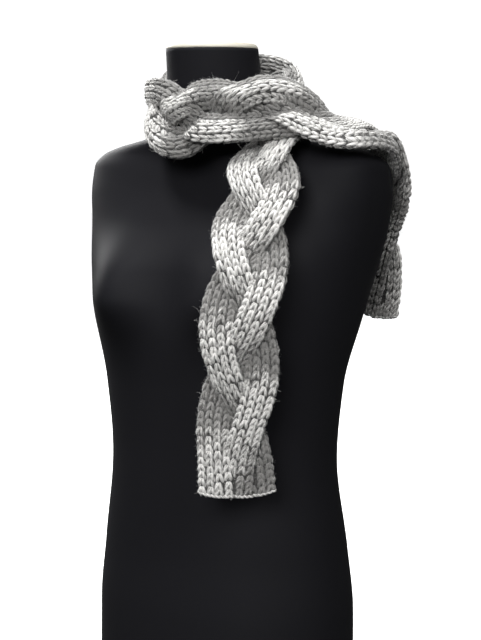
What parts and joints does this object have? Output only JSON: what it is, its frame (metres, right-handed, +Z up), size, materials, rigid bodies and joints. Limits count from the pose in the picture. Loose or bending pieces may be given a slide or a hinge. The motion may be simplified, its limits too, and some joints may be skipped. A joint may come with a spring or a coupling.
{
  "type": "knit scarf on a dress form",
  "caption": "Chunky braided knit scarf wound once round the neck of a limbless dress form, one end down the front and one down the back.",
  "frame": {"origin": "middle of the dress form's flat base, on the surface it stands on", "axes": "+Z up along the form; the form faces -Y; +X is the form's left, the side where both scarf ends hang"},
  "size_m": [0.4205, 0.3403, 0.771],
  "materials": {
    "form_cover": "matt black stretch jersey drawn smooth over the form",
    "grey_yarn": "thick, soft, heathered light grey wool yarn with a fine halo"
  },
  "bodies": {
    "root": {"dress_form": "form_cover", "scarf_front_tail": "grey_yarn", "scarf_neck_back": "grey_yarn", "scarf_throat_band": "grey_yarn", "scarf_back_tail": "grey_yarn"}
  },
  "joints": []
}
